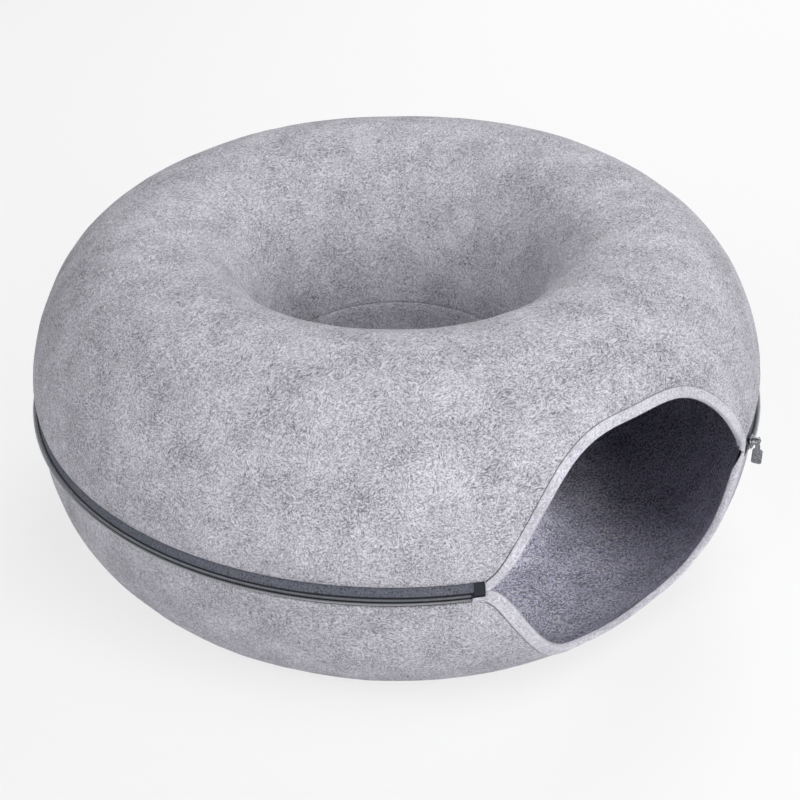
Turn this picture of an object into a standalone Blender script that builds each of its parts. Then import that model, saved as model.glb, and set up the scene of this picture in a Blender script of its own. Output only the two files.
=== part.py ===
"""A ring-shaped felt tunnel for a cat: two moulded felt halves, joined by a zip round the outside and
one round the inner wall, with one bound entrance in the side.

Metres, +Z up. The ring stands on z = 0 and its entrance faces -Y. Angles are degrees round the ring,
0 at the entrance's middle and positive towards +X.
"""

import math

import bmesh
import bpy
from mathutils import Matrix

# The felt halves.
OUTER_RADIUS = 0.300  # the ring at its widest, where the outer zip runs
UPPER_SET_IN = 0.002  # the felts' outer faces lie this far inside it at the seam
LOWER_SET_IN = 0.003
HOLE_RADIUS = 0.106
CREST_RADIUS = 0.196
FOOT_OUTER_RADIUS = 0.178
FOOT_INNER_RADIUS = 0.152
SEAM_HEIGHT = 0.142
TOTAL_HEIGHT = 0.277
FELT = 0.004
UPPER_EDGE_RISE = 0.0100  # seam to the upper felt's outer edge, where the tape shows
LOWER_EDGE_DROP = 0.0046  # seam to the lower felt's outer edge, close under the coil
SEAM_GAP = 0.0003  # each felt's inner edge to the seam, where the two halves meet

# Roundness of the four quarters of the section: 2 is an ellipse, more is squarer.
UPPER_OUTER_ROUND = 2.106
UPPER_INNER_ROUND = 2.353
LOWER_OUTER_ROUND = 2.316
LOWER_INNER_ROUND = 2.300

# The entrance: one arch above the seam and its like below it.
ENTRANCE_HALF_ANGLE = 26.1
ARCH_BELOW_CREST = 0.041  # the crest's height over the entrance's top
ARCH_ABOVE_FOOT = 0.041
UPPER_ARCH_ROUND = 3.3
UPPER_ARCH_POINT = 1.6  # more than 1 draws the arch's corners out to a point
LOWER_ARCH_ROUND = 3.8
LOWER_ARCH_POINT = 2.2

# The folded strip that binds the entrance's edge.
BINDING = 0.0012
BINDING_WIDTH = 0.0075
BINDING_END_GAP = 0.0005  # each binding's end to the seam
BINDING_END_ANGLE = 26.7

# The outer zip and the inner one share one size of coil, tape and slider.
TAPE = 0.0006
TAPE_REACH = 0.018  # seam to the tape's far edge
COIL_DEPTH = 0.0026  # through the chain
COIL_ROW = 0.0024  # height of one row
ROW_GAP = 0.0014  # between the two rows
COIL_CHAMFER = 0.0006
OUTER_CHAIN_LEAN = 18.0  # degrees that the outer chain's top leans in
OUTER_CHAIN_SET_IN = 0.0029  # outer chain's middle inside the lower felt's face
UPPER_TAPE_BEND = 0.0044  # along the tape from the seam to where it turns up to its felt
LOWER_TAPE_BEND = 0.0029
LOWER_LANDING_GAP = 0.0003  # height over the lower felt's edge where the tape has come in behind it
UPPER_EDGE_LAP = 0.0006  # height under the upper felt's edge where the tape meets it
INNER_TAPE_BEND = 0.0055
INNER_TAPE_STAND = 0.0023  # inner wall to the tape behind the coil, room for the slider's back
INNER_BEND_RUN = 0.0020  # height that an inner tape takes to step across to its felt

# Zip ends, stops, retainer boxes and pins.
OUTER_TAPE_END = 27.35
OUTER_COIL_START = 27.8
OUTER_COIL_STOP = 29.2
INNER_TAPE_END = 1.0
INNER_COIL_START = 2.9
INNER_COIL_STOP = 4.1
END_GAP = 0.0006  # a coil's end to the stop or box beside it
BOX_WALL = 0.0005
BOX_FLOOR_DROP = 0.0034  # seam to the retainer box's underside
PIN_DEPTH = 0.0012
FILM = 0.0003
FILM_LENGTH = 0.0090
PATCH = 0.0012
PATCH_DROP = 0.0005  # seam to the patch's top
PATCH_HEIGHT = 0.0053

# Sliders and their pulls.
SLIDER_LENGTH = 0.0114
SLIDER_HEIGHT = 0.0096
SLIDER_TAIL_HEIGHT = 0.0068
SLIDER_SHOULDER = 0.0030
FRONT_PLATE = 0.0012
BACK_PLATE = 0.0010
BACK_PLATE_RISE = 0.0036  # seam to the back plate's top and foot
BACK_PLATE_DROP = 0.0012
PLATE_BEVEL = 0.0004
POST = 0.0006
POST_LENGTH = 0.0050
LIP = 0.0006  # upper flange that laps the coil, so that the slider stays with the upper half
LIP_CLEARANCE = 0.0005
LIP_DEPTH = 0.0020
BAR_RADIUS = 0.0007
BAR_RISE = 0.0041  # front plate's face to the bar's centre
BAR_COVER = 0.0010  # bar's centre to the legs' outer ends
LEG_LENGTH = 0.0014
LEG_HEIGHT = 0.0022
LEG_SPACING = 0.0068  # between the legs' middles
EYE_BORE_RADIUS = 0.0012
EYE_RADIUS = 0.0024
PULL_LENGTH = 0.0170  # from the bar's centre to the plate's foot
PULL_NECK_LENGTH = 0.0066
PULL_NECK_WIDTH = 0.0034
PULL_WIDTH = 0.0066
PULL_THICKNESS = 0.0012
PULL_CORNER = 0.0014
OUTER_PARK_ANGLE = 28.85
INNER_PARK_ANGLE = 6.2

# Clearances.
GAP = 0.0003  # between pieces that touch
RING_GAP = 0.0004  # between two turned pieces, whose flats may not line up
RUN_GAP = 0.0008  # slider's front plate to the coil that it runs over
BACK_RUN_GAP = 0.0006  # slider's back plate to the tape
OVERRUN = 0.010  # how far a cutter passes what it cuts

# Fineness of the turned shapes.
RING_STEPS = 72
QUARTER_STEPS = 7
ARCH_STEPS = 12
ROUND_SIDES = 16

STEP_ANGLE = 360.0 / RING_STEPS
UPPER_RADIUS = OUTER_RADIUS - UPPER_SET_IN
LOWER_RADIUS = OUTER_RADIUS - LOWER_SET_IN
ROW_LOW = ROW_GAP / 2  # the coil's rows, as heights above and below the seam
ROW_HIGH = ROW_LOW + COIL_ROW
MERGE = 0.00001

FELT_GREY = (0.56, 0.55, 0.61)
BINDING_GREY = (0.66, 0.65, 0.72)
TAPE_SLATE = (0.115, 0.13, 0.17)
COIL_SLATE = (0.09, 0.10, 0.125)
FILM_BLACK = (0.02, 0.02, 0.03)
METAL_GREY = (0.46, 0.47, 0.50)


def clear_scene():
    for item in list(bpy.data.objects):
        bpy.data.objects.remove(item, do_unlink=True)


def new_collection(name):
    made = bpy.data.collections.new(name)
    bpy.context.scene.collection.children.link(made)
    return made


def new_material(name, colour, roughness, metallic=0.0):
    made = bpy.data.materials.new(name)
    made.use_nodes = True
    shader = made.node_tree.nodes["Principled BSDF"]
    shader.inputs["Base Color"].default_value = (*colour, 1.0)
    shader.inputs["Roughness"].default_value = roughness
    shader.inputs["Metallic"].default_value = metallic
    made.diffuse_color = (*colour, 1.0)
    return made


def quarter(start, end, roundness, steps):
    """Points of a rounded quarter, from the widest point start = (r, z) to the top or foot end."""
    points = []
    for i in range(steps + 1):
        turn = math.pi / 2 * i / steps
        across = math.cos(turn) ** (2 / roundness) if i < steps else 0.0
        along = math.sin(turn) ** (2 / roundness)
        points.append((end[0] + (start[0] - end[0]) * across, start[1] + (end[1] - start[1]) * along))
    return points


def radius_at(height):
    """Outer face's radius at this height, on the half that holds it."""
    if height > SEAM_HEIGHT:
        widest, top, roundness = UPPER_RADIUS, TOTAL_HEIGHT - SEAM_HEIGHT, UPPER_OUTER_ROUND
        narrowest = CREST_RADIUS
    else:
        widest, top, roundness = LOWER_RADIUS, SEAM_HEIGHT, LOWER_OUTER_ROUND
        narrowest = FOOT_OUTER_RADIUS
    share = min(abs(height - SEAM_HEIGHT) / top, 1.0)
    return narrowest + (widest - narrowest) * (1 - share**roundness) ** (1 / roundness)


def inner_wall_at(height):
    """Radius of the hole's face at this height."""
    if height > SEAM_HEIGHT:
        widest, top, roundness = CREST_RADIUS, TOTAL_HEIGHT - SEAM_HEIGHT, UPPER_INNER_ROUND
    else:
        widest, top, roundness = FOOT_INNER_RADIUS, SEAM_HEIGHT, LOWER_INNER_ROUND
    share = min(abs(height - SEAM_HEIGHT) / top, 1.0)
    return widest - (widest - HOLE_RADIUS) * (1 - share**roundness) ** (1 / roundness)


def hole_face(top, narrowest, roundness, edge):
    """The hole's face, from its edge at the seam to the crest or the foot."""
    points = quarter((HOLE_RADIUS, SEAM_HEIGHT), (narrowest, top), roundness, QUARTER_STEPS)
    return [(inner_wall_at(edge), edge)] + points[1:]


def side_face(top, narrowest, widest, roundness, edge):
    """The outer side's face, from its edge near the seam to the crest or the foot."""
    points = quarter((widest, SEAM_HEIGHT), (narrowest, top), roundness, QUARTER_STEPS)
    if (edge - SEAM_HEIGHT) * (top - SEAM_HEIGHT) < 0:
        return [(widest, edge)] + points
    return [(radius_at(edge), edge)] + points[1:]


def upper_profile(outer_edge, inner_edge):
    """The upper half's outer face, from the hole's edge over the crest and down to the outer edge."""
    hole = hole_face(TOTAL_HEIGHT, CREST_RADIUS, UPPER_INNER_ROUND, inner_edge)
    felt_edge = SEAM_HEIGHT + UPPER_EDGE_RISE
    side = side_face(TOTAL_HEIGHT, CREST_RADIUS, UPPER_RADIUS, UPPER_OUTER_ROUND, felt_edge)
    if outer_edge < felt_edge:
        side = [(radius_at(max(outer_edge, SEAM_HEIGHT + MERGE)), outer_edge)] + side
    return hole + side[-2::-1]


def lower_profile(outer_edge, inner_edge):
    """The lower half's outer face, from the outer edge down, across the foot and up to the hole's edge."""
    side = side_face(0.0, FOOT_OUTER_RADIUS, LOWER_RADIUS, LOWER_OUTER_ROUND, outer_edge)
    hole = hole_face(0.0, FOOT_INNER_RADIUS, LOWER_INNER_ROUND, inner_edge)
    return side + hole[::-1]


def felt_back(face, height):
    """Radius of the felt's tunnel face at this height, behind the outer face that is given."""
    sign = -1 if face[0][0] > CREST_RADIUS else 1
    backs = []
    for (radius, z), (next_radius, next_z) in zip(face, face[1:]):
        lean = math.hypot(next_radius - radius, next_z - z) / abs(next_z - z)
        at_height = radius + (next_radius - radius) * (height - z) / (next_z - z)
        backs.append(sign * at_height + FELT * lean)
    return sign * max(backs)


def arch_half(rise, roundness, point, grow):
    """Half of one arch as (length along the seam, rise) points from its corner to its top, grown outwards."""
    curve = []
    for i in range(ARCH_STEPS + 1):
        share = math.cos(math.pi / 2 * i / ARCH_STEPS)
        run = OUTER_RADIUS * math.radians(ENTRANCE_HALF_ANGLE) * share
        curve.append((run, rise * max(1 - share**roundness, 0.0) ** point))
    grown = []
    for i, (run, height) in enumerate(curve[:-1]):
        before, after = curve[max(i - 1, 0)], curve[i + 1]
        length = math.hypot(after[0] - before[0], after[1] - before[1])
        out = ((after[1] - before[1]) / length, (before[0] - after[0]) / length)
        grown.append((run + grow * out[0], height + grow * out[1]))
    grown.append((0.0, rise + grow))
    while grown[1][1] <= 0:
        grown.pop(0)
    (run, height), (next_run, next_height) = grown[:2]
    grown[0] = (run - (next_run - run) * height / (next_height - height), 0.0)
    limit = OUTER_RADIUS * math.radians(BINDING_END_ANGLE)
    if grown[0][0] > limit:
        while grown[1][0] > limit:
            grown.pop(0)
        (run, height), (next_run, next_height) = grown[:2]
        crossing = height + (next_height - height) * (limit - run) / (next_run - run)
        grown[:1] = [(limit, 0.0), (limit, crossing)]
    return grown


def entrance_outline(grow):
    """The entrance seen from the front, as (x, z) points round it, grown outwards by a length."""
    points = []
    upper_rise = TOTAL_HEIGHT - SEAM_HEIGHT - ARCH_BELOW_CREST
    upper = arch_half(upper_rise, UPPER_ARCH_ROUND, UPPER_ARCH_POINT, grow)
    lower = arch_half(SEAM_HEIGHT - ARCH_ABOVE_FOOT, LOWER_ARCH_ROUND, LOWER_ARCH_POINT, grow)
    for sign, half in ((1, upper), (-1, lower)):
        runs = half[1:] + [(-run, height) for run, height in half[-2::-1]]
        for run, height in runs:
            z = SEAM_HEIGHT + sign * height
            points.append((sign * radius_at(z) * math.sin(run / OUTER_RADIUS), z))
    return points


def entrance_reach():
    """How far in front of the ring's axis the bound edge of the entrance stands."""
    reach = 0.0
    for x, height in entrance_outline(GAP + BINDING):
        radius = radius_at(height)
        reach = max(reach, math.sqrt(radius**2 - x**2) + GAP + BINDING)
    return reach


# The entrance shortens the ring's front, so its axis stands a little forward of the footprint's middle.
AXIS_Y = -(OUTER_RADIUS - entrance_reach()) / 2


def link(name, mesh, collection, material=None, parent=None):
    made = bpy.data.objects.new(name, mesh)
    collection.objects.link(made)
    made.parent = parent
    if material:
        mesh.materials.append(material)
    return made


def finish_mesh(name, bm):
    """A mesh from a bmesh, with its doubles merged and its faces turned out."""
    bmesh.ops.remove_doubles(bm, verts=bm.verts[:], dist=MERGE)
    bmesh.ops.recalc_face_normals(bm, faces=bm.faces[:])
    mesh = bpy.data.meshes.new(name)
    bm.to_mesh(mesh)
    bm.free()
    mesh.shade_smooth()
    mesh.set_sharp_from_angle(angle=math.radians(35))
    return mesh


def make_cutter(item):
    item.hide_render = True
    item.display_type = "WIRE"
    return item


def add_boolean(item, operation, other):
    made = item.modifiers.new(operation.title(), "BOOLEAN")
    made.operation = operation
    made.object = other
    made.solver = "EXACT"


def felt_shell(name, profile, collection, material, wall, proud=0.0):
    """A turned shell: the profile swept round, then thickened inwards from proud of its face."""
    bm = bmesh.new()
    corners = [bm.verts.new((radius, 0.0, height)) for radius, height in profile]
    for first, second in zip(corners, corners[1:]):
        bm.edges.new((first, second))
    mesh = bpy.data.meshes.new(name)
    bm.to_mesh(mesh)
    bm.free()
    item = link(name, mesh, collection, material, ring)
    item.rotation_euler.z = -math.pi / 2
    turn = item.modifiers.new("Turn", "SCREW")
    turn.steps = turn.render_steps = RING_STEPS
    turn.use_merge_vertices = True
    turn.merge_threshold = MERGE
    turn.use_smooth_shade = True
    wall_modifier = item.modifiers.new("Wall", "SOLIDIFY")
    wall_modifier.thickness = wall
    wall_modifier.offset = 2 * proud / wall - 1
    wall_modifier.use_even_offset = True
    return item


def turned_angles(start, end):
    """Angles from start to end with every whole step of the ring between them."""
    first = math.floor(start / STEP_ANGLE) + 1
    last = math.ceil(end / STEP_ANGLE) - 1
    return [start] + [STEP_ANGLE * i for i in range(first, last + 1)] + [end]


def turned_sector(name, section, start, end, collection, material, parent):
    """A closed (r, z) section swept from one angle to another, its ends laid on the ring's flats."""
    bm = bmesh.new()
    face = bm.faces.new([bm.verts.new((0.0, -radius, height)) for radius, height in section])
    angles = turned_angles(start, end)
    bmesh.ops.rotate(bm, verts=face.verts[:], matrix=Matrix.Rotation(math.radians(start), 3, "Z"))
    swept = [face] + face.edges[:] + face.verts[:]
    for first, second in zip(angles, angles[1:]):
        turn = math.radians(second - first)
        swept = bmesh.ops.spin(bm, geom=swept, cent=(0, 0, 0), axis=(0, 0, 1), angle=turn, steps=1)["geom_last"]
    for vert in bm.verts:
        on_flat = math.degrees(math.atan2(vert.co.x, -vert.co.y)) % STEP_ANGLE - STEP_ANGLE / 2
        share = math.cos(math.radians(STEP_ANGLE / 2)) / math.cos(math.radians(on_flat))
        vert.co.xy *= share
    return link(name, finish_mesh(name, bm), collection, material, parent)


def leaned(points, middle, lean):
    """Points of an (r, z) section turned about the chain's middle at the seam, the top towards the axis."""
    across, up = math.cos(math.radians(lean)), math.sin(math.radians(lean))
    turned = []
    for radius, height in points:
        out, rise = radius - middle, height - SEAM_HEIGHT
        turned.append((middle + out * across - rise * up, SEAM_HEIGHT + out * up + rise * across))
    return turned


def tape_section(line, depth):
    """A strip's closed section: its outer face is the line, and it is depth thick towards the axis."""
    return line + [(radius - depth, height) for radius, height in reversed(line)]


def rounded_row(inner, outer, low, high):
    """One row of the coil, with its outer corners eased."""
    return [
        (inner, low),
        (outer - COIL_CHAMFER, low),
        (outer, low + COIL_CHAMFER),
        (outer, high - COIL_CHAMFER),
        (outer - COIL_CHAMFER, high),
        (inner, high),
    ]


def block(inner, outer, low, high):
    return [(inner, low), (outer, low), (outer, high), (inner, high)]


def arc(length, radius):
    """The angle in degrees that a length takes up at this radius."""
    return math.degrees(length / radius)


def prism(name, outline, near, far, collection):
    """An outline of (x, z) points made solid between two distances in front of the ring's axis."""
    bm = bmesh.new()
    face = bm.faces.new([bm.verts.new((x, -near, height)) for x, height in outline])
    made = bmesh.ops.extrude_face_region(bm, geom=[face])
    moved = [item for item in made["geom"] if isinstance(item, bmesh.types.BMVert)]
    bmesh.ops.translate(bm, verts=moved, vec=(0, near - far, 0))
    return make_cutter(link(name, finish_mesh(name, bm), collection, None, ring))


def box_bmesh(bm, low, high):
    """Adds a box between two corners and returns its vertices."""
    made = bmesh.ops.create_cube(bm, size=1.0)["verts"]
    size = [b - a for a, b in zip(low, high)]
    bmesh.ops.scale(bm, verts=made, vec=size)
    bmesh.ops.translate(bm, verts=made, vec=[(a + b) / 2 for a, b in zip(low, high)])
    return made


def plate_outline():
    """The slider's plate seen from the front: a wide mouth, a shoulder and a narrower tail."""
    half, mouth, tail = SLIDER_LENGTH / 2, SLIDER_HEIGHT / 2, SLIDER_TAIL_HEIGHT / 2
    return [
        (-half, -tail),
        (half - SLIDER_SHOULDER, -mouth),
        (half, -tail),
        (half, tail),
        (half - SLIDER_SHOULDER, mouth),
        (-half, tail),
    ]


def add_tool(name, bm, parent):
    """A hidden mesh that shapes another piece, carried by the same parent."""
    return make_cutter(link(name, finish_mesh(name, bm), cutters, None, parent))


def slider_body(name, back, front, seat):
    """Front plate, back plate, the post between the rows, and the arch whose bar carries the pull.

    It is modelled round the chain's middle, facing -Y, and its seat carries it to its place. The
    plates' inner faces lie this far behind the chain's middle and in front of it.
    """
    bm = bmesh.new()
    face = bm.faces.new([bm.verts.new((x, -front, z)) for x, z in plate_outline()])
    made = bmesh.ops.extrude_face_region(bm, geom=[face])
    moved = [item for item in made["geom"] if isinstance(item, bmesh.types.BMVert)]
    bmesh.ops.translate(bm, verts=moved, vec=(0, -FRONT_PLATE, 0))
    item = link(name, finish_mesh(name, bm), parts, metal, seat)
    ease = item.modifiers.new("Ease", "BEVEL")
    ease.width = PLATE_BEVEL
    ease.segments = 1
    ease.limit_method = "ANGLE"

    half = SLIDER_LENGTH / 2 - PLATE_BEVEL
    post_end = half - PLATE_BEVEL
    lip_end = half - SLIDER_SHOULDER
    lip_low = ROW_HIGH + LIP_CLEARANCE
    face_y = -front - FRONT_PLATE
    root_y = -front - FRONT_PLATE / 2
    boxes = {
        "_back": ((-half, back, -BACK_PLATE_DROP), (half, back + BACK_PLATE, BACK_PLATE_RISE)),
        "_post": ((post_end - POST_LENGTH, root_y, -POST / 2), (post_end, back + BACK_PLATE / 2, POST / 2)),
        "_lip": ((-lip_end, root_y, lip_low), (lip_end, LIP_DEPTH - front, lip_low + LIP)),
    }
    for side, sign in (("_leg_a", -1), ("_leg_b", 1)):
        leg = sign * LEG_SPACING / 2
        low = (leg - LEG_LENGTH / 2, face_y - BAR_RISE - BAR_COVER, -LEG_HEIGHT / 2)
        boxes[side] = (low, (leg + LEG_LENGTH / 2, root_y, LEG_HEIGHT / 2))
    tools = []
    for side, (low, high) in boxes.items():
        bm = bmesh.new()
        box_bmesh(bm, low, high)
        tools.append(add_tool(name + side, bm, seat))
    bm = bmesh.new()
    bar = round_bar(bm, BAR_RADIUS, LEG_SPACING, ROUND_SIDES // 2)
    bmesh.ops.translate(bm, verts=bar, vec=(0, face_y - BAR_RISE, 0))
    tools.append(add_tool(name + "_bar", bm, seat))
    for tool in tools:
        add_boolean(item, "UNION", tool)
    return BAR_RISE - face_y


def round_bar(bm, radius, length, sides):
    """Adds a cylinder along X at the origin and returns its vertices."""
    made = bmesh.ops.create_cone(bm, cap_ends=True, segments=sides, radius1=radius, radius2=radius, depth=length)
    bmesh.ops.rotate(bm, verts=made["verts"], matrix=Matrix.Rotation(math.pi / 2, 3, "Y"))
    return made["verts"]


def slider_pull(name, parent):
    """An eye round the slider's bar with a flat plate hanging from it, edge on to the felt."""
    bm = bmesh.new()
    half, wide = PULL_THICKNESS / 2, PULL_WIDTH / 2
    box_bmesh(bm, (-half, -wide, -PULL_LENGTH), (half, wide, -PULL_NECK_LENGTH))
    corners = [edge for edge in bm.edges if abs(edge.verts[0].co.x - edge.verts[1].co.x) > half]
    bmesh.ops.bevel(
        bm, geom=corners, offset=PULL_CORNER, segments=3, profile=0.5, affect="EDGES", material=-1
    )
    item = link(name, finish_mesh(name, bm), parts, metal, parent)

    bm = bmesh.new()
    narrow = PULL_NECK_WIDTH / 2
    box_bmesh(bm, (-half, -narrow, -PULL_NECK_LENGTH - PULL_CORNER), (half, narrow, -EYE_BORE_RADIUS))
    neck_tool = add_tool(name + "_neck", bm, parent)
    bm = bmesh.new()
    round_bar(bm, EYE_RADIUS, PULL_THICKNESS, ROUND_SIDES)
    eye_tool = add_tool(name + "_eye", bm, parent)
    bm = bmesh.new()
    round_bar(bm, EYE_BORE_RADIUS, PULL_THICKNESS + OVERRUN, ROUND_SIDES)
    bore_tool = add_tool(name + "_bore", bm, parent)

    add_boolean(item, "UNION", neck_tool)
    add_boolean(item, "UNION", eye_tool)
    add_boolean(item, "DIFFERENCE", bore_tool)


def new_empty(name, location, turn, parent=None):
    made = bpy.data.objects.new(name, None)
    made.empty_display_size = FELT
    parts.objects.link(made)
    made.parent = parent
    made.location = location
    made.rotation_euler = turn
    return made


clear_scene()
parts = new_collection("donut_cat_tunnel")
cutters = new_collection("cutters")
cutters.hide_render = True
ring = new_empty("ring_axis", (0, AXIS_Y, 0), (0, 0, 0))

felt = new_material("felt", FELT_GREY, 0.95)
binding_felt = new_material("binding_felt", BINDING_GREY, 0.92)
tape_cloth = new_material("zip_tape", TAPE_SLATE, 0.85)
coil_nylon = new_material("zip_coil", COIL_SLATE, 0.45)
film = new_material("tape_film", FILM_BLACK, 0.35)
metal = new_material("slider_metal", METAL_GREY, 0.35, 1.0)

# The entrance's cutters: one for the felt, and for the binding one at each edge and one for its fold.
NEAR, FAR = CREST_RADIUS, OUTER_RADIUS + OVERRUN
felt_cut = prism("entrance_felt_cut", entrance_outline(GAP + BINDING), NEAR, FAR, cutters)
fold_cut = prism("entrance_fold_cut", entrance_outline(BINDING), NEAR, FAR, cutters)
lip_cut = prism("entrance_lip_cut", entrance_outline(0.0), NEAR, FAR, cutters)
band_keep = prism("entrance_band_keep", entrance_outline(BINDING_WIDTH), NEAR, FAR, cutters)


def felt_half(name, profile_of, outer_edge, inner_edge):
    shell = felt_shell(name, profile_of(outer_edge, inner_edge), parts, felt, FELT)
    add_boolean(shell, "DIFFERENCE", felt_cut)


def entrance_binding(name, profile_of, edge, past_edge):
    """The strip folded over the entrance's edge: a band of the half, thicker than it, less the felt."""
    inner_edge = edge
    room = felt_shell(name + "_room", profile_of(past_edge, inner_edge), cutters, None, FELT + 2 * GAP, GAP)
    make_cutter(room)
    add_boolean(room, "DIFFERENCE", fold_cut)
    reach = GAP + BINDING
    band = felt_shell(name, profile_of(edge, inner_edge), parts, binding_felt, FELT + 2 * reach, reach)
    add_boolean(band, "INTERSECT", band_keep)
    add_boolean(band, "DIFFERENCE", lip_cut)
    add_boolean(band, "DIFFERENCE", room)


upper_edge, upper_inner_edge = SEAM_HEIGHT + UPPER_EDGE_RISE, SEAM_HEIGHT + SEAM_GAP
lower_edge, lower_inner_edge = SEAM_HEIGHT - LOWER_EDGE_DROP, SEAM_HEIGHT - SEAM_GAP
felt_half("upper_felt_shell", upper_profile, upper_edge, upper_inner_edge)
felt_half("lower_felt_shell", lower_profile, lower_edge, lower_inner_edge)
entrance_binding(
    "upper_entrance_binding", upper_profile, SEAM_HEIGHT + BINDING_END_GAP, SEAM_HEIGHT - OVERRUN
)
entrance_binding(
    "lower_entrance_binding", lower_profile, SEAM_HEIGHT - BINDING_END_GAP, SEAM_HEIGHT + OVERRUN
)


def chain(prefix, middle, lean, upper_line, lower_line, tape_end, coil_start, coil_stop):
    """Two tapes, the two rows of the coil, their top stops, the retainer box and its pin."""
    coil_inner, coil_outer = middle - COIL_DEPTH / 2, middle + COIL_DEPTH / 2
    turn = 360.0

    def piece(name, section, start, end, material):
        turned_sector(prefix + name, leaned(section, middle, lean), start, end, parts, material, ring)

    for side, sign, line in (("_upper", 1, upper_line), ("_lower", -1, lower_line)):
        tape = tape_section(line, TAPE)
        turned_sector(prefix + side + "_zip_tape", tape, tape_end, turn - tape_end, parts, tape_cloth, ring)
        low, high = sorted((SEAM_HEIGHT + sign * ROW_LOW, SEAM_HEIGHT + sign * ROW_HIGH))
        row = rounded_row(coil_inner, coil_outer, low, high)
        piece(side + "_zip_coil", row, coil_start, turn - coil_stop, coil_nylon)
        stop_start = tape_end + arc(GAP, coil_outer)
        stop_end = coil_start - arc(END_GAP, coil_outer)
        stop = block(coil_inner, coil_outer + FILM, low, high)
        piece(side + "_top_stop", stop, stop_start, stop_end, metal)
    box_start = turn - coil_stop + arc(END_GAP, coil_outer)
    box_end = turn - tape_end - arc(GAP, coil_outer)
    pin_inner = coil_inner + BOX_WALL + GAP
    pin_outer = pin_inner + PIN_DEPTH
    floor, top = SEAM_HEIGHT - BOX_FLOOR_DROP, SEAM_HEIGHT + ROW_HIGH
    channel = [
        (coil_inner, floor),
        (pin_outer + GAP + BOX_WALL, floor),
        (pin_outer + GAP + BOX_WALL, top),
        (pin_outer + GAP, top),
        (pin_outer + GAP, floor + BOX_WALL),
        (pin_inner - GAP, floor + BOX_WALL),
        (pin_inner - GAP, SEAM_HEIGHT - GAP),
        (coil_inner, SEAM_HEIGHT - GAP),
    ]
    piece("_retainer_box", channel, box_start, box_end, film)
    pin = block(pin_inner, pin_outer, floor + BOX_WALL + GAP, top)
    piece("_insertion_pin", pin, box_start, box_end, metal)


# The outer zip: its tape runs behind the leaning coil, then turns to lie behind each felt.
outer_middle = OUTER_RADIUS - OUTER_CHAIN_SET_IN
outer_tape_face = outer_middle - COIL_DEPTH / 2 - GAP
upper_landing = upper_edge - UPPER_EDGE_LAP
tape_top = SEAM_HEIGHT + TAPE_REACH
lower_landing = lower_edge + LOWER_LANDING_GAP
tape_foot = SEAM_HEIGHT - TAPE_REACH


def behind_outer_felt(height):
    """Where a tape lies against the outer side's felt from within."""
    if height > SEAM_HEIGHT:
        face = side_face(TOTAL_HEIGHT, CREST_RADIUS, UPPER_RADIUS, UPPER_OUTER_ROUND, upper_edge)
    else:
        face = side_face(0.0, FOOT_OUTER_RADIUS, LOWER_RADIUS, LOWER_OUTER_ROUND, lower_edge)
    return felt_back(face, height) - RING_GAP


def behind_outer_coil(rise):
    """A point of the tape's face behind the leaning coil, this far along it from the seam."""
    return leaned([(outer_tape_face, SEAM_HEIGHT + rise)], outer_middle, OUTER_CHAIN_LEAN)[0]


outer_upper_line = [
    behind_outer_coil(ROW_LOW),
    behind_outer_coil(UPPER_TAPE_BEND),
    (behind_outer_felt(upper_landing), upper_landing),
    (behind_outer_felt(tape_top), tape_top),
]
outer_lower_line = [
    (behind_outer_felt(tape_foot), tape_foot),
    (behind_outer_felt(lower_landing), lower_landing),
    behind_outer_coil(-LOWER_TAPE_BEND),
    behind_outer_coil(-ROW_LOW),
]
chain(
    "outer",
    outer_middle,
    OUTER_CHAIN_LEAN,
    outer_upper_line,
    outer_lower_line,
    OUTER_TAPE_END,
    OUTER_COIL_START,
    OUTER_COIL_STOP,
)

# The inner zip, on the tunnel's side of the inner wall, held off it where the slider's back runs.
def before_inner_wall(height):
    """Where a tape lies against the hole's felt, on the tunnel's side of it."""
    if height > SEAM_HEIGHT:
        face = hole_face(TOTAL_HEIGHT, CREST_RADIUS, UPPER_INNER_ROUND, upper_inner_edge)
    else:
        face = hole_face(0.0, FOOT_INNER_RADIUS, LOWER_INNER_ROUND, lower_inner_edge)
    return felt_back(face, height) + RING_GAP + TAPE


inner_tape_face = HOLE_RADIUS + FELT + INNER_TAPE_STAND + TAPE
inner_middle = inner_tape_face + GAP + COIL_DEPTH / 2
inner_bend = INNER_TAPE_BEND
inner_landing = inner_bend + INNER_BEND_RUN
inner_upper_line = [
    (inner_tape_face, SEAM_HEIGHT + ROW_LOW),
    (inner_tape_face, SEAM_HEIGHT + inner_bend),
    (before_inner_wall(SEAM_HEIGHT + inner_landing), SEAM_HEIGHT + inner_landing),
    (before_inner_wall(tape_top), tape_top),
]
inner_lower_line = [
    (before_inner_wall(tape_foot), tape_foot),
    (before_inner_wall(SEAM_HEIGHT - inner_landing), SEAM_HEIGHT - inner_landing),
    (inner_tape_face, SEAM_HEIGHT - inner_bend),
    (inner_tape_face, SEAM_HEIGHT - ROW_LOW),
]
chain(
    "inner",
    inner_middle,
    0.0,
    inner_upper_line,
    inner_lower_line,
    INNER_TAPE_END,
    INNER_COIL_START,
    INNER_COIL_STOP,
)

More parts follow.
